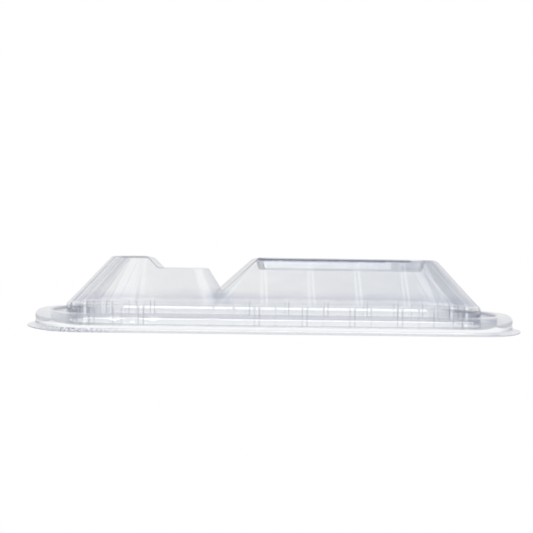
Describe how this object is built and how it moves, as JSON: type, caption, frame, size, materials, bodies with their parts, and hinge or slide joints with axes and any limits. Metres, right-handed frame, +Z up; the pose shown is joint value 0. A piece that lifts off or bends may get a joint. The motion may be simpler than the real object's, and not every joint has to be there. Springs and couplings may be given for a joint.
{
  "type": "clear dome lid",
  "caption": "Clear thermoformed twin-dome lid with ribbed sloping walls, a stepped left top, a recessed right top, a press-on bead rim and a trim flange.",
  "frame": {"origin": "centre of the lid in plan, on the underside of the trim flange", "axes": "+X along the length towards the larger recessed dome, +Y from front to back, +Z up"},
  "size_m": [0.242, 0.17, 0.034],
  "materials": {
    "clear_sheet": "clear glossy PET sheet, see-through, with a faint cool grey tint"
  },
  "bodies": {
    "root": {"front_flange": "clear_sheet", "back_flange": "clear_sheet", "left_flange": "clear_sheet", "right_flange": "clear_sheet", "front_skirt": "clear_sheet", "back_skirt": "clear_sheet", "left_skirt": "clear_sheet", "right_skirt": "clear_sheet", "rim_crown": "clear_sheet", "inner_rim_wall": "clear_sheet", "gutter_floor": "clear_sheet", "left_plinth": "clear_sheet", "right_plinth": "clear_sheet", "left_ledge": "clear_sheet", "right_ledge": "clear_sheet", "lower_wall": "clear_sheet", "valley_saddle": "clear_sheet", "left_wall": "clear_sheet", "left_crown": "clear_sheet", "left_step": "clear_sheet", "left_shelf": "clear_sheet", "right_wall": "clear_sheet", "right_stacking_rim": "clear_sheet", "right_riser": "clear_sheet", "right_panel": "clear_sheet"}
  },
  "joints": []
}
